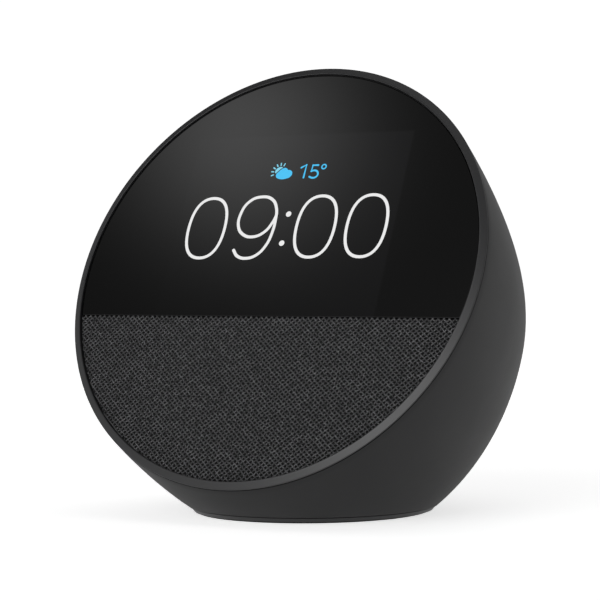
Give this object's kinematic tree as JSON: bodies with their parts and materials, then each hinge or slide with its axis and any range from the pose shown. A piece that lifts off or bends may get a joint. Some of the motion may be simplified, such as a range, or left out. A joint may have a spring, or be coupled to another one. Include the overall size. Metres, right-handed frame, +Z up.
{
  "type": "smart display",
  "caption": "Table-top smart display with a tilted round glass and fabric front, a ball-like rear shell, three sprung top buttons and a front-firing speaker.",
  "frame": {"origin": "on the table under the middle of the body's bounding box", "axes": "+Z up, front face towards -Y, +X to the right as seen from the front"},
  "size_m": [0.113, 0.103, 0.1111],
  "materials": {
    "housing_plastic": "fine matt moulded",
    "bezel_plastic": "satin moulded",
    "button_plastic": "matt moulded",
    "inner_plastic": "plain moulded",
    "cover_glass": "polished, printed black behind",
    "display": "liquid crystal panel",
    "speaker_fabric": "woven polyester",
    "steel": "stamped and zinc plated",
    "copper": "enamelled copper winding",
    "aluminium": "rolled sheet",
    "ferrite": "sintered and ground",
    "rubber": "moulded",
    "paper": "pressed pulp",
    "circuit_board": "solder mask over glass epoxy",
    "component_plastic": "moulded epoxy",
    "ribbon": "polyimide film",
    "wire_red": "extruded insulation",
    "wire_black": "extruded insulation"
  },
  "bodies": {
    "housing": {"rear_shell": "housing_plastic", "bezel_ring": "bezel_plastic", "cover_glass": "cover_glass", "fabric_cover": "speaker_fabric", "grille_plate": "inner_plastic", "display_panel": "display", "display_tray": "steel", "front_frame": "inner_plastic", "frame_screw_1": "steel", "frame_screw_2": "steel", "frame_screw_3": "steel", "frame_screw_4": "steel", "speaker_gasket": "rubber", "speaker_basket": "steel", "speaker_surround": "rubber", "speaker_spider": "speaker_fabric", "speaker_top_plate": "steel", "speaker_magnet": "ferrite", "speaker_yoke": "steel", "speaker_screw_1": "steel", "speaker_screw_2": "steel", "speaker_screw_3": "steel", "speaker_screw_4": "steel", "speaker_wire_plus": "wire_red", "speaker_wire_minus": "wire_black", "main_board": "circuit_board", "board_screw_1": "steel", "board_screw_2": "steel", "board_screw_3": "steel", "board_screw_4": "steel", "processor_chip": "component_plastic", "processor_shield": "steel", "thermal_pad": "rubber", "heat_spreader": "aluminium", "display_ribbon": "ribbon", "volume_down_switch": "component_plastic", "microphone_off_switch": "component_plastic", "volume_up_switch": "component_plastic", "button_board": "circuit_board", "microphone_left": "aluminium", "microphone_right": "aluminium", "power_jack": "component_plastic", "jack_board": "circuit_board", "base_plate": "housing_plastic", "rubber_foot": "rubber", "base_screw_1": "steel", "base_screw_2": "steel", "base_screw_3": "steel", "base_screw_4": "steel"},
    "volume_down_key": {"volume_down_button": "button_plastic", "volume_down_plunger": "steel"},
    "microphone_off_key": {"microphone_off_button": "button_plastic", "microphone_off_plunger": "steel"},
    "volume_up_key": {"volume_up_button": "button_plastic", "volume_up_plunger": "steel"},
    "speaker_diaphragm": {"speaker_cone": "paper", "speaker_dust_cap": "paper", "speaker_voice_coil": "copper"}
  },
  "joints": [
    {"name": "volume_down_press", "type": "slide", "parent": "housing", "child": "volume_down_key", "axis": [0, -0.6307, -0.776], "range_m": [0, 0.0005], "stiffness_N_per_m": 2400, "springref_m": -0.0001},
    {"name": "microphone_off_press", "type": "slide", "parent": "housing", "child": "microphone_off_key", "axis": [0, -0.6307, -0.776], "range_m": [0, 0.0005], "stiffness_N_per_m": 2400, "springref_m": -0.0001},
    {"name": "volume_up_press", "type": "slide", "parent": "housing", "child": "volume_up_key", "axis": [0, -0.6307, -0.776], "range_m": [0, 0.0005], "stiffness_N_per_m": 2400, "springref_m": -0.0001},
    {"name": "speaker_cone_travel", "type": "slide", "parent": "housing", "child": "speaker_diaphragm", "axis": [0, -0.9063, 0.4226], "range_m": [-0.0012, 0.0012], "stiffness_N_per_m": 1500}
  ]
}
